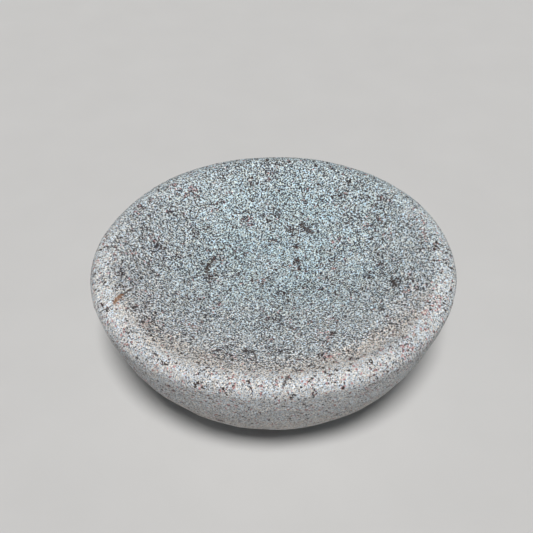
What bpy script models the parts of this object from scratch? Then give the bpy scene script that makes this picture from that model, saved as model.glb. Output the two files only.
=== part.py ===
"""Round hand-carved stone bowl: one solid piece of granite.

A broad shallow basin lies inside a thick rounded lip, and the body draws in below the lip
to a small flat foot. The turned shape is slightly uneven, as hand carving leaves it: the
outline wanders by about half a millimetre and the rim is not quite parallel to the foot.

Metres, +Z up. The origin is the middle of the footprint, on the surface the bowl stands on.
"""

import math

import bmesh
import bpy

# Driving dimensions, in metres.
OUTER_RADIUS = 0.1000  # widest circle of the body
WIDEST_HEIGHT = 0.0705  # widest circle above the foot
LIP_RISE = 0.0084  # crest of the lip above the widest circle
LIP_REACH = 0.0112  # crest of the lip inside the widest circle
BASIN_DEPTH = 0.0220  # basin below the crest, before the rim is rounded
RIM_ROUNDING = 0.0012  # how far the rounding takes the basin's sharp rim down
BODY_DROP = 0.0765  # depth below the widest circle where the body's curve would reach its axis
FOOT_EDGE = 0.0015  # bevel where the body meets the foot
RIM_SLOPE = math.radians(1.0)  # the rim rises this much towards +X

# Shape of the basin and of the body, without units.
BASIN_POWER = 1.9  # 2 is a parabola, more gives a flatter floor
BODY_DEPTH_POWER = 1.33
BODY_RADIUS_POWER = 3.10

# Unevenness of the outline: lobes round the bowl, height in metres, direction of a crest.
LOBES = (
    (3, 0.00022, math.radians(-38.0)),
    (4, 0.00026, math.radians(42.0)),
    (5, 0.00012, math.radians(-32.0)),
    (6, 0.00016, math.radians(2.0)),
    (8, 0.00012, math.radians(-10.0)),
)

# Mesh density.
SEGMENTS = 80
BASIN_RINGS = 12
LIP_RINGS = 8
BODY_RINGS = 12

STONE_COLOUR = (0.42, 0.44, 0.44, 1.0)
STONE_ROUGHNESS = 0.85


def clear_scene():
    """Remove whatever the scene holds."""
    for old in list(bpy.data.objects):
        bpy.data.objects.remove(old, do_unlink=True)


def stone_material():
    """Plain pale grey stone."""
    material = bpy.data.materials.new("stone")
    material.use_nodes = True
    shader = material.node_tree.nodes["Principled BSDF"]
    shader.inputs["Base Color"].default_value = STONE_COLOUR
    shader.inputs["Roughness"].default_value = STONE_ROUGHNESS
    shader.inputs["Metallic"].default_value = 0.0
    return material


def crest_radius():
    """Radius of the circle along the top of the lip."""
    return OUTER_RADIUS - LIP_REACH


def crest_height():
    """Height of the top of the lip above the foot."""
    return WIDEST_HEIGHT + LIP_RISE


def basin_height(radius):
    """Height of the basin's surface; its corner with the lip is a smooth round."""
    depth = BASIN_DEPTH * (1.0 - (radius / crest_radius()) ** BASIN_POWER)
    return crest_height() - (math.hypot(depth, RIM_ROUNDING) - RIM_ROUNDING)


def body_point(turn):
    """(radius, height) of the outside: turn 0 is the widest circle, a quarter turn the axis."""
    radius = OUTER_RADIUS * math.cos(turn) ** (2.0 / BODY_RADIUS_POWER)
    return (radius, WIDEST_HEIGHT - BODY_DROP * math.sin(turn) ** (2.0 / BODY_DEPTH_POWER))


def foot_turn():
    """The turn at which the outside reaches the bevel of the foot."""
    drop = (WIDEST_HEIGHT - FOOT_EDGE) / BODY_DROP
    return math.asin(drop ** (0.5 * BODY_DEPTH_POWER))


def basin_profile():
    """(radius, height) from just outside the middle of the basin to just inside the crest."""
    steps = (math.sin(0.5 * math.pi * i / BASIN_RINGS) for i in range(1, BASIN_RINGS))
    return [(crest_radius() * s, basin_height(crest_radius() * s)) for s in steps]


def lip_profile():
    """(radius, height) along the quarter ellipse from the crest to the widest circle."""
    points = []
    for i in range(LIP_RINGS + 1):
        turn = 0.5 * math.pi * i / LIP_RINGS
        radius = crest_radius() + LIP_REACH * math.sin(turn)
        points.append((radius, WIDEST_HEIGHT + LIP_RISE * math.cos(turn)))
    return points


def body_profile():
    """(radius, height) from below the widest circle to the edge of the flat foot."""
    points = [body_point(foot_turn() * i / BODY_RINGS) for i in range(1, BODY_RINGS + 1)]
    foot_radius = points[-1][0] - FOOT_EDGE
    return points + [(foot_radius, 0.0)]


def unevenness(angle):
    """Height of the hand-carved lobes in this direction."""
    return sum(high * math.cos(count * (angle - crest)) for count, high, crest in LOBES)


def place(radius, height, angle):
    """A point of the bowl: the turned shape with its lobes and its sloping rim."""
    wide = radius + unevenness(angle) * radius / OUTER_RADIUS
    x = wide * math.cos(angle)
    y = wide * math.sin(angle)
    lift = math.tan(RIM_SLOPE) * x * height / crest_height()
    return (x, y, height + lift)


def add_ring(mesh, radius, height):
    """One ring of vertices round the bowl."""
    angles = (2.0 * math.pi * i / SEGMENTS for i in range(SEGMENTS))
    return [mesh.verts.new(place(radius, height, angle)) for angle in angles]


def join_rings(mesh, inner, outer):
    """Quads between two neighbouring rings."""
    for i in range(SEGMENTS):
        j = (i + 1) % SEGMENTS
        mesh.faces.new((inner[i], outer[i], outer[j], inner[j]))


def centre_on_footprint(mesh):
    """Shift the bowl sideways so that the origin is in the middle of its footprint."""
    for axis in (0, 1):
        places = [vert.co[axis] for vert in mesh.verts]
        middle = 0.5 * (min(places) + max(places))
        for vert in mesh.verts:
            vert.co[axis] -= middle


def bowl_mesh():
    """The closed bowl: basin, lip, body and a single flat face for the foot."""
    mesh = bmesh.new()
    profile = basin_profile() + lip_profile() + body_profile()
    rings = [add_ring(mesh, radius, height) for radius, height in profile]
    middle = mesh.verts.new(place(0.0, basin_height(0.0), 0.0))
    for i in range(SEGMENTS):
        mesh.faces.new((middle, rings[0][i], rings[0][(i + 1) % SEGMENTS]))
    for inner, outer in zip(rings, rings[1:]):
        join_rings(mesh, inner, outer)
    mesh.faces.new(reversed(rings[-1]))
    centre_on_footprint(mesh)
    return mesh


def make_bowl():
    """The stone bowl as one object, shaded smooth but for the edge of the foot."""
    mesh = bowl_mesh()
    data = bpy.data.meshes.new("stone_bowl")
    mesh.to_mesh(data)
    mesh.free()
    data.shade_smooth()
    data.set_sharp_from_angle(angle=math.radians(35.0))
    data.materials.append(stone_material())
    bowl = bpy.data.objects.new("stone_bowl", data)
    bpy.context.scene.collection.objects.link(bowl)
    return bowl


def main():
    """Build the part."""
    clear_scene()
    make_bowl()


main()
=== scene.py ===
"""Looks of the hand-carved stone bowl: sculpted surface, granite, floor, light and camera.

Everything is in metres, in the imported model's frame: +Z up, the bowl stands on z = 0, and the
viewer stands on the -Y side.
"""

import math

import bpy
import numpy as np
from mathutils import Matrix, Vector, noise


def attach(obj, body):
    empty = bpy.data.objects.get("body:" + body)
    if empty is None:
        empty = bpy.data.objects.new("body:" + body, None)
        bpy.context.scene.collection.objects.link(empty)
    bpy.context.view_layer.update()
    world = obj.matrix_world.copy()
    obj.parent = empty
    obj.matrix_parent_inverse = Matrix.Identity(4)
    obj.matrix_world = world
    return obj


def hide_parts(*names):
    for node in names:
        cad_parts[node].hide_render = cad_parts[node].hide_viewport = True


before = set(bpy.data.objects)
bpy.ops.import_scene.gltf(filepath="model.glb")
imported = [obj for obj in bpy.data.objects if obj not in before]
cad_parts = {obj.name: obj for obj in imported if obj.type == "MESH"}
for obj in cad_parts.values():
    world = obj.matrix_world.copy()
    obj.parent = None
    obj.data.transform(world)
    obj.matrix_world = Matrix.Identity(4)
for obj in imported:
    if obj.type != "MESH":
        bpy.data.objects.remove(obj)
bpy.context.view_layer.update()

MM = 0.001

# The turned shape of the bowl, as the frame's node has it.
OUTER_RADIUS = 0.1000
WIDEST_HEIGHT = 0.0705
LIP_RISE = 0.0084
LIP_REACH = 0.0112
BASIN_DEPTH = 0.0220
BASIN_POWER = 1.9
RIM_ROUNDING = 0.0012
BODY_DROP = 0.0765
BODY_DEPTH_POWER = 1.33
BODY_RADIUS_POWER = 3.10
FOOT_EDGE = 0.0015
RIM_SLOPE = math.radians(1.0)
LOBES = (
    (3, 0.00022, math.radians(-38.0)),
    (4, 0.00026, math.radians(42.0)),
    (5, 0.00012, math.radians(-32.0)),
    (6, 0.00016, math.radians(2.0)),
    (8, 0.00012, math.radians(-10.0)),
)
CREST_RADIUS = OUTER_RADIUS - LIP_REACH
CREST_HEIGHT = WIDEST_HEIGHT + LIP_RISE

# The hand-cut crest: how far it wanders outwards from its turned circle, and how it is worn.
CREST_SHIFT = 0.0003
CREST_LOBES = (
    (1, 0.0010, math.radians(-82.0)),
    (2, 0.0006, math.radians(-82.0)),
    (5, 0.0003, math.radians(20.0)),
    (9, 0.0002, math.radians(-47.0)),
)
CREST_INSIDE = 0.060
CREST_OUTSIDE = 0.0990
WEAR_DEPTH = 0.00040
WEAR_WIDTH = 0.0036
WEAR_TURN = math.radians(-112.0)
HOLLOW_DEPTH = 0.0015
HOLLOW_WIDTH = 0.0070
HOLLOW_RADIUS = 0.0825
HOLLOW_TURN = math.radians(-44.0)

WEAR_SHARPNESS = 3.0
HOLLOW_SHARPNESS = 12.0

# Sculpted mesh: cells along each side of the two sheets, upper and lower.
CELLS = 208
PROFILE_POINTS = 400


# ---------------------------------------------------------------- turned profile


def basin_height(radius):
    """Height of the basin's surface, with its edge at the crest rounded."""
    depth = BASIN_DEPTH * (1.0 - (radius / CREST_RADIUS) ** BASIN_POWER)
    return CREST_HEIGHT - (np.hypot(depth, RIM_ROUNDING) - RIM_ROUNDING)


def upper_profile():
    """(radius, height) from the middle of the basin over the crest to the widest circle."""
    radius = np.linspace(0.0, CREST_RADIUS, PROFILE_POINTS)
    turn = np.linspace(0.0, 0.5 * math.pi, PROFILE_POINTS)[1:]
    lip_radius = CREST_RADIUS + LIP_REACH * np.sin(turn)
    lip_height = WIDEST_HEIGHT + LIP_RISE * np.cos(turn)
    heights = np.append(basin_height(radius), lip_height)
    return np.append(radius, lip_radius), heights


def lower_profile():
    """(radius, height) from the middle of the foot round its bevel to the widest circle."""
    foot_drop = (WIDEST_HEIGHT - FOOT_EDGE) / BODY_DROP
    foot_turn = math.asin(foot_drop ** (0.5 * BODY_DEPTH_POWER))
    turn = np.linspace(foot_turn, 0.0, PROFILE_POINTS)
    radius = OUTER_RADIUS * np.cos(turn) ** (2.0 / BODY_RADIUS_POWER)
    height = WIDEST_HEIGHT - BODY_DROP * np.sin(turn) ** (2.0 / BODY_DEPTH_POWER)
    foot_radius = radius[0] - FOOT_EDGE
    return np.concatenate(([0.0, foot_radius], radius)), np.concatenate(([0.0, 0.0], height))


def along(profile, share):
    """Radius and height at these shares of a profile's length."""
    radius, height = profile
    steps = np.hypot(np.diff(radius), np.diff(height))
    length = np.append(0.0, np.cumsum(steps))
    reached = share * length[-1]
    return np.interp(reached, length, radius), np.interp(reached, length, height)


def waves(lobes, angle):
    """Sum in this direction of lobes with a count round the bowl, a height and a crest."""
    return sum(high * np.cos(count * (angle - crest)) for count, high, crest in lobes)


def place(radius, height, angle):
    """Points of the bowl: the turned shape with its lobes and its sloping rim."""
    lobes = waves(LOBES, angle)
    wide = radius * (1.0 + lobes / OUTER_RADIUS)
    x = wide * np.cos(angle)
    y = wide * np.sin(angle)
    z = height + math.tan(RIM_SLOPE) * x * height / CREST_HEIGHT
    return np.stack([x, y, z], axis=-1)


def towards(angle, middle, sharpness):
    """1 in this direction, falling off to 0 behind; a higher sharpness narrows the sector."""
    return (0.5 + 0.5 * np.cos(angle - middle)) ** sharpness


def step(value, low, high):
    """Smooth step from 0 at low to 1 at high."""
    share = np.clip((value - low) / (high - low), 0.0, 1.0)
    return share * share * (3.0 - 2.0 * share)


def hand_cut(radius, height, angle):
    """Crest moved out here and there, worn round at the near left, hollowed at the near right."""
    wander = CREST_SHIFT + waves(CREST_LOBES, angle)
    inner = step(radius, CREST_INSIDE, CREST_RADIUS)
    outer = 1.0 - step(radius, CREST_RADIUS, CREST_OUTSIDE)
    from_crest = (radius - CREST_RADIUS) / WEAR_WIDTH
    worn = WEAR_DEPTH * np.exp(-from_crest * from_crest)
    worn = worn * towards(angle, WEAR_TURN, WEAR_SHARPNESS)
    from_hollow = (radius - HOLLOW_RADIUS) / HOLLOW_WIDTH
    hollow = HOLLOW_DEPTH * np.exp(-from_hollow * from_hollow)
    hollow = hollow * towards(angle, HOLLOW_TURN, HOLLOW_SHARPNESS)
    return radius + wander * inner * outer, height - worn - hollow


# ---------------------------------------------------------------- mesh


def disc_grid():
    """Polar places of a square grid wrapped onto a disc, so that its cells are alike in size."""
    side = np.linspace(-1.0, 1.0, CELLS + 1)
    a, b = np.meshgrid(side, side, indexing="ij")
    along_a = np.abs(a) > np.abs(b)
    big = np.where(along_a, a, b)
    small = np.where(along_a, b, a)
    ratio = np.divide(small, big, out=np.zeros_like(big), where=big != 0.0)
    eighth = 0.25 * math.pi * ratio
    angle = np.where(along_a, eighth, 0.5 * math.pi - eighth)
    angle = angle + np.where(big < 0.0, math.pi, 0.0)
    return np.abs(big), angle


def bowl_points_and_faces():
    """Vertices and quads of the closed turned shape: two wrapped grids that share their border."""
    share, angle = disc_grid()
    upper = place(*hand_cut(*along(upper_profile(), share), angle), angle)
    lower = place(*along(lower_profile(), share), angle)
    count = CELLS + 1
    upper_index = np.arange(count * count).reshape(count, count)
    inside = np.zeros((count, count), dtype=bool)
    inside[1:-1, 1:-1] = True
    lower_index = upper_index.copy()
    lower_index[inside] = count * count + np.arange(int(inside.sum()))
    points = np.concatenate([upper.reshape(-1, 3), lower[inside]])
    return points, np.concatenate([grid_quads(upper_index), grid_quads(lower_index)[:, ::-1]])


def grid_quads(index):
    """Quads of a grid of vertex numbers, facing up for a grid seen from above."""
    corners = (index[:-1, :-1], index[1:, :-1], index[1:, 1:], index[:-1, 1:])
    return np.stack([c.ravel() for c in corners], axis=-1)


def mesh_from(name, points, faces):
    """A mesh object from arrays, shaded smooth."""
    mesh = bpy.data.meshes.new(name)
    mesh.from_pydata(points.tolist(), [], faces.tolist())
    mesh.shade_smooth()
    mesh.update()
    obj = bpy.data.objects.new(name, mesh)
    bpy.context.scene.collection.objects.link(obj)
    return obj


# ---------------------------------------------------------------- carved relief

# Depths of the layers of the relief, and the sizes of their shapes.
SWELL_DEPTH = 0.22 * MM
SWELL_SIZE = 30.0 * MM
DRESSING_DEPTH = 0.15 * MM
DRESSING_SIZE = 9.0 * MM
GRAIN_DEPTH = 0.07 * MM
GRAIN_SIZE = 3.2 * MM
PIT_DEPTH = 0.45 * MM
PIT_SPACING = 3.4 * MM
PIT_RADIUS = 0.34
PIT_PATCH_SIZE = 17.0 * MM
PIT_PATCH_MIDDLE = 0.5
PIT_PATCH_CONTRAST = 1.6
STROKE_DEPTH = 0.35 * MM
STROKE_HEIGHT = 4.0 * MM
STROKE_COUNT = 6.0
SCOOP_DEPTH = 0.75 * MM
SCOOP_SIZE = 15.0 * MM
SCOOP_FLATTENING = 1.6
RIB_DEPTH = 0.30 * MM
RIB_LENGTH = 15.0 * MM
RIB_COUNT = 14.0
WALL_MIDDLE = 80.0 * MM
WALL_HALF = 20.0 * MM
OUTSIDE_TOP = WIDEST_HEIGHT + 3.0 * MM
OUTSIDE_FADE = 8.0 * MM
FOOT_FADE = 50.0 * MM


def fractal(point, size, octaves, shift=0.0):
    """Layered noise from about -1 to 1 with shapes of this size; shift picks another pattern."""
    where = Vector((point[0] / size + shift, point[1] / size, point[2] / size))
    return noise.fractal(where, 1.0, 2.0, octaves)


def ring_noise(angle, count, third):
    """Noise from 0 to 1 that closes on itself round the bowl."""
    where = Vector((count * math.cos(angle), count * math.sin(angle), third))
    return 0.5 + 0.5 * noise.noise(where)


def pitting(point):
    """Depth share of the scattered small pits, 0 to 1."""
    distances, _ = noise.voronoi(Vector(point) / PIT_SPACING)
    pit = max(0.0, 1.0 - distances[0] / PIT_RADIUS)
    patch = fractal(point, PIT_PATCH_SIZE, 2, 40.0)
    return pit * pit * min(1.0, max(0.0, PIT_PATCH_MIDDLE + PIT_PATCH_CONTRAST * patch))


def scoops(point):
    """Depth share of the shallow scoops that the chisel left on the outside, 0 to 1."""
    x, y, z = point
    distances, _ = noise.voronoi(Vector((x, y, SCOOP_FLATTENING * z)) / SCOOP_SIZE)
    return max(0.0, 1.0 - distances[0])


def relief(point):
    """How far the carved surface lies below the turned shape here, in metres."""
    x, y, z = point
    radius = math.hypot(x, y)
    angle = math.atan2(y, x)
    outside = min(1.0, max(0.0, (OUTSIDE_TOP - z) / OUTSIDE_FADE))
    on_body = outside * min(1.0, radius / FOOT_FADE)
    on_wall = max(0.0, 1.0 - abs(radius - WALL_MIDDLE) / WALL_HALF) * (1.0 - outside)
    depth = SWELL_DEPTH * (1.0 + fractal(point, SWELL_SIZE, 2))
    depth += DRESSING_DEPTH * (1.0 + fractal(point, DRESSING_SIZE, 3, 11.0))
    depth += GRAIN_DEPTH * (1.0 + fractal(point, GRAIN_SIZE, 2, 23.0))
    depth += PIT_DEPTH * pitting(point)
    depth += STROKE_DEPTH * ring_noise(angle, STROKE_COUNT, z / STROKE_HEIGHT) * on_body
    depth += SCOOP_DEPTH * scoops(point) * on_body
    return depth + RIB_DEPTH * ring_noise(angle, RIB_COUNT, radius / RIB_LENGTH) * on_wall


def sculpt(obj):
    """Move every vertex of the turned shape inwards by the relief; the foot stays flat on z = 0."""
    mesh = obj.data
    count = len(mesh.vertices)
    points = np.empty(count * 3)
    normals = np.empty(count * 3)
    mesh.vertices.foreach_get("co", points)
    mesh.vertices.foreach_get("normal", normals)
    points = points.reshape(-1, 3)
    normals = normals.reshape(-1, 3)
    depth = np.array([relief(p) for p in points.tolist()])
    on_foot = points[:, 2] < 1e-6
    depth[on_foot] = 0.0
    points -= normals * depth[:, None]
    points[:, 2] = np.maximum(points[:, 2], 0.0)
    mesh.vertices.foreach_set("co", points.ravel())
    mesh.update()


def make_bowl():
    """The sculpted stone bowl, in place of the frame's plain one."""
    points, faces = bowl_points_and_faces()
    for axis in (0, 1):
        points[:, axis] -= 0.5 * (points[:, axis].min() + points[:, axis].max())
    bowl = mesh_from("carved_stone_bowl", points, faces)
    sculpt(bowl)
    bowl.data.materials.append(granite())
    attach(bowl, "root")
    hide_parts("stone_bowl")
    return bowl


# ---------------------------------------------------------------- shader nodes

GRAIN_BLUR = 0.01
LINE_CORE = 0.3


class Tree:
    """Short ways to add and link shader nodes. Sockets or numbers go in, a socket comes out."""

    def __init__(self, name):
        self.material = bpy.data.materials.new(name)
        self.material.use_nodes = True
        self.nodes = self.material.node_tree.nodes
        self.links = self.material.node_tree.links
        self.shader = self.nodes["Principled BSDF"]

    def put(self, socket, value):
        """Link a socket, or set a number or a colour."""
        if isinstance(value, bpy.types.NodeSocket):
            self.links.new(value, socket)
        elif socket.type == "RGBA" and isinstance(value, tuple):
            socket.default_value = (*value, 1.0)
        else:
            socket.default_value = value

    def math(self, operation, a, b=0.0, clamp=False):
        """One Math node."""
        node = self.nodes.new("ShaderNodeMath")
        node.operation = operation
        node.use_clamp = clamp
        self.put(node.inputs[0], a)
        self.put(node.inputs[1], b)
        return node.outputs[0]

    def add(self, a, b):
        return self.math("ADD", a, b)

    def subtract(self, a, b):
        return self.math("SUBTRACT", a, b)

    def multiply(self, a, b):
        return self.math("MULTIPLY", a, b)

    def vector(self, operation, a, b=(0.0, 0.0, 0.0), scale=1.0):
        """One Vector Math node."""
        node = self.nodes.new("ShaderNodeVectorMath")
        node.operation = operation
        self.put(node.inputs[0], a)
        self.put(node.inputs[1], b)
        if operation == "SCALE":
            self.put(node.inputs["Scale"], scale)
        one_number = operation in ("DISTANCE", "DOT_PRODUCT")
        return node.outputs["Value" if one_number else "Vector"]

    def smooth(self, value, low, high, to_low=0.0, to_high=1.0):
        """Smooth step: to_low below low, to_high above high."""
        node = self.nodes.new("ShaderNodeMapRange")
        node.interpolation_type = "SMOOTHSTEP"
        names = ("Value", "From Min", "From Max", "To Min", "To Max")
        for name, item in zip(names, (value, low, high, to_low, to_high)):
            self.put(node.inputs[name], item)
        return node.outputs["Result"]

    def below(self, value, limit, blur=GRAIN_BLUR):
        """1 where the value is below the limit, 0 where it is above, with a blurred edge."""
        return self.smooth(self.subtract(value, limit), -blur, blur, 1.0, 0.0)

    def mix(self, share, a, b, blend="MIX"):
        """Mix two colours."""
        node = self.nodes.new("ShaderNodeMix")
        node.data_type = "RGBA"
        node.blend_type = blend
        self.put(node.inputs[0], share)
        self.put(node.inputs[6], a)
        self.put(node.inputs[7], b)
        return node.outputs[2]

    def noise(self, where, size_mm, detail=2.0, roughness=0.5, seed=0.0):
        """Noise texture from 0 to 1 with shapes of this size."""
        node = self.nodes.new("ShaderNodeTexNoise")
        node.noise_dimensions = "4D"
        self.put(node.inputs["Vector"], where)
        node.inputs["W"].default_value = seed
        node.inputs["Scale"].default_value = 1.0 / size_mm
        node.inputs["Detail"].default_value = detail
        node.inputs["Roughness"].default_value = roughness
        return node.outputs["Fac"]

    def cells(self, where, size_mm, seed=0.0):
        """Voronoi cells: three random numbers for each, and the distance to its centre."""
        node = self.nodes.new("ShaderNodeTexVoronoi")
        node.voronoi_dimensions = "4D" if seed else "3D"
        self.put(node.inputs["Vector"], where)
        if seed:
            node.inputs["W"].default_value = seed
        node.inputs["Scale"].default_value = 1.0 / size_mm
        parts = self.nodes.new("ShaderNodeSeparateColor")
        self.links.new(node.outputs["Color"], parts.inputs[0])
        return parts.outputs[0], parts.outputs[1], parts.outputs[2], node.outputs["Distance"]

    def spot(self, where, centre_mm, radius_mm):
        """1 at this place, fading to 0 at this distance."""
        return self.smooth(self.vector("DISTANCE", where, centre_mm), 0.0, radius_mm, 1.0, 0.0)

    def line(self, where, start_mm, end_mm, half_width_mm, jag):
        """1 on the straight line between two places, fading to 0 at its jagged edges."""
        run = Vector(end_mm) - Vector(start_mm)
        offset = self.vector("SUBTRACT", where, start_mm)
        share = self.vector("DOT_PRODUCT", offset, tuple(run / run.length_squared))
        share = self.math("ADD", share, 0.0, clamp=True)
        nearest = self.vector("SCALE", tuple(run), scale=share)
        gap = self.add(self.vector("DISTANCE", offset, nearest), jag)
        return self.smooth(gap, LINE_CORE * half_width_mm, half_width_mm, 1.0, 0.0)


# ---------------------------------------------------------------- granite

# Marks on the stone, all in millimetres: patches as centre, radius and strength, and cracks, seen
# from above, as two ends and a half width.
DARK_PATCHES = (
    ((19, 40, 64), 5, 0.34),
    ((12, 42, 64), 4, 0.20),
    ((34, 15, 63), 6, 0.30),
    ((-64, 18, 70), 5, 0.34),
    ((-45, 35, 67), 7, 0.18),
    ((-14, 47, 65), 5, 0.22),
    ((2, 53, 66), 5, 0.22),
    ((-35, 2, 61), 6, 0.28),
    ((4, -9, 58), 5, 0.25),
    ((-31, -18, 62), 6, 0.16),
    ((52, -4, 67), 6, 0.18),
    ((65, -15, 72), 5, 0.34),
    ((-12, -67, 71), 5, 0.32),
    ((4, -64, 70), 5, 0.26),
    ((-66, -50, 76), 4, 0.25),
)
PINK_PATCHES = (
    ((-47, 63, 74), 8, 1.0),
    ((-14, 47, 65), 6, 0.9),
    ((71, -24, 75), 6, 0.8),
    ((83, -39, 80), 8, 1.0),
    ((66, -73, 78), 7, 1.2),
    ((28, -74, 76), 7, 0.8),
)
CRACKS = (
    ((-33, 17), (-37, 7), 0.7),
    ((-37, 7), (-34, -8), 0.8),
    ((-24, 12), (-19, 4), 0.5),
    ((-15, -65), (-10, -66), 1.0),
    ((-10, -66), (-8, -78), 0.8),
    ((7, -91), (4, -97), 0.8),
    ((17, 44), (23, 37), 1.3),
    ((8, 42), (12, 39), 1.0),
    ((64, -11), (66, -19), 1.1),
    ((-79, -31), (-74, -22), 0.7),
)
RUST_VEIN = ((-82, -38), (-79, -31), 1.5)
# Centre and reach, in millimetres, of the bluish tint over the basin, strongest at its back:
# painted cool light.
COOL_LIGHT_CENTRE = (10, 36, 62)
COOL_LIGHT_RADIUS = 152

NEUTRAL = (0.985, 1.0, 1.02)
# Bluish hue of the basin: painted cool light.
PAINTED_COOL_LIGHT = (0.80, 0.985, 1.05)
# Warm hue of the near wall's band: painted warm reflection.
PAINTED_WARM_REFLECTION = (1.03, 0.992, 0.955)
PINK = (0.70, 0.33, 0.32)
COOL_GRAIN = (0.88, 1.0, 1.12)
WARM_GRAIN = (1.10, 0.99, 0.86)
DARK_BROWN = (0.040, 0.026, 0.022)
DARK_BLUE = (0.018, 0.026, 0.042)
SPECK_DARKEST = (0.016, 0.012, 0.013)
SPECK_PALEST = (0.060, 0.038, 0.034)
CRACK_BROWN = (0.045, 0.030, 0.026)
RUST = (0.24, 0.100, 0.030)
BAND_EVEN_TONE = 0.38
GRAIN_ROUGHNESS = (0.82, 0.60)
STONE_IOR = 1.45

# Sizes of the grains, and of the patterns that gather them, in millimetres.
DARK_GRAIN_SIZE = 1.05
PALE_GRAIN_SIZE = 0.42
SPECK_SIZE = 1.0
CLOUD_SIZE = 6.0
BROAD_SIZE = 30.0
BORDER_SIZE = 22.0
BORDER_WANDER = 12.0
BAND_PATCH_SIZE = 10.0
VEIN_SIZE = 9.0
VEIN_FIELD_SIZE = 13.0
COOL_LIGHT_FIELD_SIZE = 18.0
PINK_FIELD_SIZE = 12.0
JAG_SIZE = 2.0
JAG_DEPTH = 3.0

# The surface that parts inside from outside: its height on the axis, and its rise by the crest.
PARTING_HEIGHT = 53.0
PARTING_RISE = 21.0

# Smooth steps: where each starts and ends, and its results there. Places are in millimetres.
FAR_RIM_PAINTED_SHADE_STEP = (0.0, 70.0, 1.0, 0.35)
RIM_STEP = (80.0, 94.0, 0.0, 1.0)
OUTSIDE_STEP = (0.0, 6.0, 0.0, 0.9)
WALL_START_STEP = (72.0, 82.0, 0.0, 1.0)
WALL_END_STEP = (87.0, 94.0, 1.0, 0.0)
NEAR_WALL_STEP = (-62.0, -12.0, 1.0, 0.0)
NEAR_RIM_STEP = (-80.0, -15.0, 1.0, 0.0)
BAND_PATCH_STEP = (0.35, 0.60, 0.45, 1.05)
BROAD_STEP = (0.3, 0.7, -0.05, 0.05)
CLUSTER_STEP = (0.605, 0.68, 0.0, 0.50)
VEIN_STEP = (0.008, 0.030, 1.0, 0.0)
VEIN_FIELD_STEP = (0.54, 0.62, 0.0, 0.55)
NEAR_SIDE_PAINTED_LIGHT_STEP = (-70.0, -10.0, 1.20, 1.0)
OUTSIDE_PAINTED_SHADE_STEP = (0.3, 0.9, 1.0, 0.86)
COOL_LIGHT_FIELD_STEP = (0.3, 0.6, 0.75, 1.1)
HUE_STEP = (0.2, 0.8)
DARK_HUE_STEP = (0.50, 0.75)
PINK_FIELD_STEP = (0.58, 0.80, 0.0, 0.7)
PINK_CLOUD_STEP = (0.57, 0.66, 0.0, 0.45)
CRACK_GRAIN_STEP = (0.25, 0.45, 1.0, 0.75)
CRACK_INSIDE_STEP = (0.0, 0.3, 1.0, 0.0)

# Where clouds of dark grains start and are full, and what they add in the basin and on the rim.
CLOUD_START = 0.56
CLOUD_FULL = 0.74
CLOUD_DARK = (0.30, 0.24)

# Share of dark grains, tone of the darkest pale grains and strength of the specks, each in two
# places: basin and rim for the first two, elsewhere and near rim for the third. The weaker specks
# on the near rim are painted shade over its highlight.
DARK_SHARE = (0.31, 0.15)
DARKEST_TONE = (0.17, 0.35)
CLUMPING = (1.0, 0.6)

# What the near rim and the near wall's band change: on the near rim, a painted shade, darker and
# with fewer dark grains, over the key light's highlight; in the band of painted warm reflection,
# fewer dark grains and a more even tone.
NEAR_RIM_PAINTED_LESS_DARK = 0.06
NEAR_RIM_PAINTED_SHADE = 0.71
BAND_LESS_DARK = 0.07
BAND_EVENING = 0.25

GRAIN_VOLUME = 0.285
DARK_GRAIN_BLUR = 0.03
LONE_SPECKS = 0.035
LONE_PINK = 0.005
RIM_PINK = 0.10
FIELD_PINK = 0.36
PINK_STRENGTH = 0.85

BUMP_STRENGTH = 0.35
BUMP_HEIGHT = 0.12 * MM
PALE_GRAIN_BUMP = 0.5
DARK_GRAIN_BUMP = 0.8
CRACK_BUMP = 2.0


def total(tree, where, patches):
    """Sum of soft round patches."""
    value = 0.0
    for centre, radius, strength in patches:
        value = tree.add(value, tree.multiply(tree.spot(where, centre, radius), strength))
    return value


def stone_zones(tree, where):
    """Masks of the stone's zones, with ragged borders."""
    split = tree.nodes.new("ShaderNodeSeparateXYZ")
    tree.put(split.inputs[0], where)
    _, y, z = split.outputs
    plan = tree.vector("MULTIPLY", where, (1.0, 1.0, 0.0))
    radius = tree.vector("DISTANCE", plan, (0.0, 0.0, 0.0))
    border = tree.subtract(tree.noise(where, BORDER_SIZE, 3.0), 0.5)
    ragged = tree.add(radius, tree.multiply(border, BORDER_WANDER))
    # The rim is less pale towards the far side: painted shade.
    rim_top = tree.multiply(tree.smooth(ragged, *RIM_STEP), tree.smooth(y, *FAR_RIM_PAINTED_SHADE_STEP))
    share = tree.math("DIVIDE", radius, CREST_RADIUS / MM)
    parting = tree.add(PARTING_HEIGHT, tree.multiply(PARTING_RISE, tree.multiply(share, share)))
    outside = tree.smooth(tree.subtract(parting, z), *OUTSIDE_STEP)
    rim = tree.math("MAXIMUM", rim_top, outside)
    # A ragged band inside the crest on the near wall, in patches: it carries the painted warm
    # reflection, and its grain is thinned and evened.
    wall = tree.multiply(tree.smooth(ragged, *WALL_START_STEP), tree.smooth(ragged, *WALL_END_STEP))
    near_wall = tree.multiply(tree.smooth(y, *NEAR_WALL_STEP), wall)
    patchy = tree.smooth(tree.noise(where, BAND_PATCH_SIZE, 3.0, 0.6, 6.4), *BAND_PATCH_STEP)
    return {
        "plan": plan,
        "y": y,
        "rim": rim,
        # Near rim, where painted shade dims the key light's highlight.
        "painted_dim_near_rim": tree.multiply(tree.smooth(y, *NEAR_RIM_STEP), rim),
        "outside": outside,
        "warm_reflection_band": tree.multiply(near_wall, patchy),
    }


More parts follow.
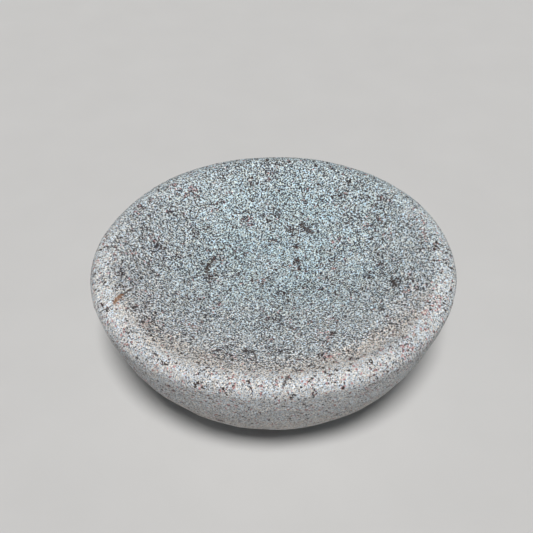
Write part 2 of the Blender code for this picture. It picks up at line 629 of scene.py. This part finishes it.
def fine_grain(tree, where, zones, cloud):
    """Where the fine dark grains are, 0 or 1, and each grain's own random number."""
    _, tone, _, distance = tree.cells(where, DARK_GRAIN_SIZE)
    broad = tree.noise(where, BROAD_SIZE, 2.0, 0.5, 5.1)
    cloud_dark = tree.smooth(zones["rim"], 0.0, 1.0, *CLOUD_DARK)
    density = tree.smooth(zones["rim"], 0.0, 1.0, *DARK_SHARE)
    density = tree.add(density, total(tree, where, DARK_PATCHES))
    # Fewer dark grains on the near rim: painted shade flattening its highlight.
    density = tree.subtract(density, tree.multiply(zones["painted_dim_near_rim"], NEAR_RIM_PAINTED_LESS_DARK))
    # Fewer dark grains in the band of the painted warm reflection.
    density = tree.subtract(density, tree.multiply(zones["warm_reflection_band"], BAND_LESS_DARK))
    density = tree.add(density, tree.smooth(cloud, CLOUD_START, CLOUD_FULL, 0.0, cloud_dark))
    density = tree.add(density, tree.smooth(broad, *BROAD_STEP))
    cube = tree.math("MAXIMUM", tree.multiply(density, GRAIN_VOLUME), 0.0)
    radius = tree.math("POWER", cube, 1.0 / 3.0)
    return tree.below(distance, radius, DARK_GRAIN_BLUR), tone


def clump_share(tree, where, zones, cloud):
    """How thickly the larger dark specks stand together, 0 to 1."""
    middle = tree.subtract(tree.noise(where, VEIN_SIZE, 3.0, 0.6, 4.9), 0.5)
    vein = tree.smooth(tree.math("ABSOLUTE", middle), *VEIN_STEP)
    field = tree.smooth(tree.noise(where, VEIN_FIELD_SIZE, 2.0, 0.5, 7.7), *VEIN_FIELD_STEP)
    clump = tree.add(total(tree, where, DARK_PATCHES), tree.smooth(cloud, *CLUSTER_STEP))
    clump = tree.add(clump, tree.multiply(vein, field))
    # Fewer specks on the near rim: painted shade flattening its highlight.
    clump = tree.multiply(clump, tree.smooth(zones["painted_dim_near_rim"], 0.0, 1.0, *CLUMPING))
    return tree.add(clump, LONE_SPECKS)


def pale_ground(tree, zones, tone):
    """Tone of the pale grains between the dark ones, with painted shade on the near rim and the
    outside and painted light on the near side.
    """
    ground = tree.smooth(tone, 0.0, 1.0, tree.smooth(zones["rim"], 0.0, 1.0, *DARKEST_TONE), 1.0)
    # The grain's tone is evened in the band of the painted warm reflection.
    even = tree.multiply(tree.subtract(BAND_EVEN_TONE, ground), BAND_EVENING)
    ground = tree.add(ground, tree.multiply(even, zones["warm_reflection_band"]))
    # Near rim darker: painted shade over the key light's highlight.
    ground = tree.multiply(ground, tree.smooth(zones["painted_dim_near_rim"], 0.0, 1.0, 1.0, NEAR_RIM_PAINTED_SHADE))
    # Near side lighter: painted light.
    ground = tree.multiply(ground, tree.smooth(zones["y"], *NEAR_SIDE_PAINTED_LIGHT_STEP))
    # Outside of the body darker: painted shade under the lip.
    return tree.multiply(ground, tree.smooth(zones["outside"], *OUTSIDE_PAINTED_SHADE_STEP))


def ground_hue(tree, where, zones, tint):
    """Hue of the pale grains: a painted cool light over the basin, a painted warm reflection on its
    near wall, mottled all over.
    """
    # Bluish tint over the basin: painted cool light.
    field = tree.smooth(tree.noise(where, COOL_LIGHT_FIELD_SIZE, 3.0, 0.6, 2.2), *COOL_LIGHT_FIELD_STEP)
    cool_light = tree.multiply(tree.spot(where, COOL_LIGHT_CENTRE, COOL_LIGHT_RADIUS), field)
    hue = tree.mix(cool_light, NEUTRAL, PAINTED_COOL_LIGHT)
    # Warm tint on the near wall's band: painted warm reflection.
    hue = tree.mix(zones["warm_reflection_band"], hue, PAINTED_WARM_REFLECTION)
    mottle = tree.mix(tree.smooth(tint, *HUE_STEP), COOL_GRAIN, WARM_GRAIN)
    return tree.mix(1.0, hue, mottle, "MULTIPLY")


def pink_share(tree, where, zones, cloud, tint):
    """Where the pink grains are, from 0 to 1."""
    field = tree.add(total(tree, where, PINK_PATCHES), tree.multiply(zones["rim"], RIM_PINK))
    patch = tree.noise(where, PINK_FIELD_SIZE, 1.0, 0.5, 9.2)
    field = tree.add(field, tree.smooth(patch, *PINK_FIELD_STEP))
    field = tree.add(field, tree.smooth(cloud, *PINK_CLOUD_STEP))
    least = tree.subtract(1.0 - LONE_PINK, tree.multiply(field, FIELD_PINK))
    return tree.smooth(tree.subtract(tint, least), -GRAIN_BLUR, GRAIN_BLUR, 0.0, PINK_STRENGTH)


def crack_share(tree, plan, cracks, jag, whole):
    """Where these cracks are, from 0 to 1, broken up where the last argument is below 1."""
    value = 0.0
    for start, end, half_width in cracks:
        crack = tree.line(plan, (*start, 0), (*end, 0), half_width, jag)
        value = tree.math("MAXIMUM", value, crack)
    return tree.multiply(value, whole)


def granite():
    """Fine-grained granite: grey basin with a painted cool light, paler rim, dark and pink specks,
    cracks.
    """
    tree = Tree("granite")
    coords = tree.nodes.new("ShaderNodeTexCoord")
    where = tree.vector("SCALE", coords.outputs["Object"], scale=1.0 / MM)
    zones = stone_zones(tree, where)
    cloud = tree.noise(where, CLOUD_SIZE, 4.0, 0.6, 1.3)
    dark, dark_tone = fine_grain(tree, where, zones, cloud)
    fine_kind, _, fine_tint, fine_distance = tree.cells(where, PALE_GRAIN_SIZE, 3.7)
    speck_kind, speck_tone, speck_tint, _ = tree.cells(where, SPECK_SIZE, 8.1)
    specks = tree.below(speck_kind, clump_share(tree, where, zones, cloud))

    hue = ground_hue(tree, where, zones, fine_tint)
    hue = tree.mix(pink_share(tree, where, zones, cloud, speck_tint), hue, PINK)
    colour = tree.mix(1.0, pale_ground(tree, zones, fine_kind), hue, "MULTIPLY")
    dark_hue = tree.mix(tree.smooth(dark_tone, *DARK_HUE_STEP), DARK_BLUE, DARK_BROWN)
    colour = tree.mix(dark, colour, dark_hue)
    colour = tree.mix(specks, colour, tree.mix(speck_tone, SPECK_DARKEST, SPECK_PALEST))

    jag = tree.multiply(tree.subtract(tree.noise(where, JAG_SIZE, 2.0, 0.6, 3.3), 0.5), JAG_DEPTH)
    inside = tree.smooth(zones["outside"], *CRACK_INSIDE_STEP)
    whole = tree.multiply(tree.smooth(fine_kind, *CRACK_GRAIN_STEP), inside)
    crack = crack_share(tree, zones["plan"], CRACKS, jag, whole)
    rust = crack_share(tree, zones["plan"], (RUST_VEIN,), jag, whole)
    colour = tree.mix(crack, colour, CRACK_BROWN)
    colour = tree.mix(rust, colour, RUST)
    tree.put(tree.shader.inputs["Base Color"], colour)
    tree.put(tree.shader.inputs["Roughness"], tree.smooth(dark, 0.0, 1.0, *GRAIN_ROUGHNESS))
    tree.shader.inputs["IOR"].default_value = STONE_IOR

    height = tree.multiply(fine_distance, PALE_GRAIN_BUMP)
    height = tree.subtract(height, tree.multiply(dark, DARK_GRAIN_BUMP))
    height = tree.subtract(height, tree.multiply(crack, CRACK_BUMP))
    bump = tree.nodes.new("ShaderNodeBump")
    bump.inputs["Strength"].default_value = BUMP_STRENGTH
    bump.inputs["Distance"].default_value = BUMP_HEIGHT
    tree.put(bump.inputs["Height"], height)
    tree.put(tree.shader.inputs["Normal"], bump.outputs[0])
    return tree.material


# ---------------------------------------------------------------- surroundings

FLOOR_HALF = 12.0
FLOOR_DARKEST = (0.56, 0.557, 0.55)
FLOOR_PALEST = (0.60, 0.597, 0.59)
FLOOR_ROUGHNESS = 0.9
MOTTLE_SIZE = 0.04


def floor_material():
    """Plain pale matt surface with a faint mottle."""
    tree = Tree("pale_floor")
    coords = tree.nodes.new("ShaderNodeTexCoord")
    mottle = tree.noise(coords.outputs["Object"], MOTTLE_SIZE, 3.0)
    tree.put(tree.shader.inputs["Base Color"], tree.mix(mottle, FLOOR_DARKEST, FLOOR_PALEST))
    tree.shader.inputs["Roughness"].default_value = FLOOR_ROUGHNESS
    return tree.material


def make_floor():
    """A wide plain floor under the bowl."""
    corners = np.array([(-1, -1, 0), (1, -1, 0), (1, 1, 0), (-1, 1, 0)]) * FLOOR_HALF
    floor = mesh_from("floor", corners, np.array([[0, 1, 2, 3]]))
    floor.data.materials.append(floor_material())


KEY_AIM = Vector((0.0, 0.0, 0.05))
KEY_DISTANCE = 2.6
KEY_ELEVATION = math.radians(62.5)
KEY_SIDE = 0.02
KEY_WIDTH = math.radians(14.5)
KEY_STRENGTH = 3.25
KEY_COLOUR = (1.0, 0.99, 0.98)
FILL_COLOUR = (0.93, 0.96, 1.0, 1.0)
HORIZON_STRENGTH = 0.24
ZENITH_STRENGTH = 0.08
ZENITH_START = 0.35


def from_viewer(elevation):
    """Direction from the bowl towards the viewer's side, raised by this angle."""
    return Vector((0.0, -math.cos(elevation), math.sin(elevation)))


def make_key():
    """One soft key light, high above the viewer."""
    light = bpy.data.lights.new("key", "SUN")
    light.angle = KEY_WIDTH
    light.energy = KEY_STRENGTH
    light.color = KEY_COLOUR
    key = bpy.data.objects.new("key", light)
    key.location = KEY_AIM + KEY_DISTANCE * from_viewer(KEY_ELEVATION)
    key.location.x += KEY_SIDE
    key.rotation_mode = "QUATERNION"
    key.rotation_quaternion = (KEY_AIM - key.location).to_track_quat("-Z", "Y")
    bpy.context.scene.collection.objects.link(key)


def make_fill():
    """A weak fill from all round, stronger at the horizon than overhead."""
    world = bpy.data.worlds.new("studio")
    world.use_nodes = True
    nodes = world.node_tree.nodes
    links = world.node_tree.links
    background = nodes["Background"]
    background.inputs["Color"].default_value = FILL_COLOUR
    coords = nodes.new("ShaderNodeTexCoord")
    split = nodes.new("ShaderNodeSeparateXYZ")
    links.new(coords.outputs["Generated"], split.inputs[0])
    ramp = nodes.new("ShaderNodeMapRange")
    links.new(split.outputs[2], ramp.inputs["Value"])
    ramp.inputs["From Max"].default_value = ZENITH_START
    ramp.inputs["To Min"].default_value = HORIZON_STRENGTH
    ramp.inputs["To Max"].default_value = ZENITH_STRENGTH
    links.new(ramp.outputs["Result"], background.inputs["Strength"])
    bpy.context.scene.world = world


CAMERA_ELEVATION = math.radians(40.4)
CAMERA_DISTANCE = 0.5495
CAMERA_RIGHT = -0.0034
CAMERA_UP = -0.0010
FIELD_OF_VIEW = math.radians(29.8)
SENSOR_WIDTH = 36.0


def make_camera():
    """The camera looks down at the bowl from the -Y side, aimed a little left of its middle."""
    data = bpy.data.cameras.new("camera")
    data.sensor_width = SENSOR_WIDTH
    data.lens = 0.5 * SENSOR_WIDTH / math.tan(0.5 * FIELD_OF_VIEW)
    camera = bpy.data.objects.new("camera", data)
    back = from_viewer(CAMERA_ELEVATION)
    up = Vector((0.0, math.sin(CAMERA_ELEVATION), math.cos(CAMERA_ELEVATION)))
    middle = Vector((0.0, 0.0, WIDEST_HEIGHT))
    right = Vector((1.0, 0.0, 0.0))
    camera.location = middle + CAMERA_DISTANCE * back + CAMERA_RIGHT * right + CAMERA_UP * up
    camera.rotation_mode = "QUATERNION"
    camera.rotation_quaternion = (-back).to_track_quat("-Z", "Y")
    bpy.context.scene.collection.objects.link(camera)
    bpy.context.scene.camera = camera


make_camera()
make_bowl()
make_floor()
make_key()
make_fill()
bpy.context.scene.view_settings.view_transform = "Standard"
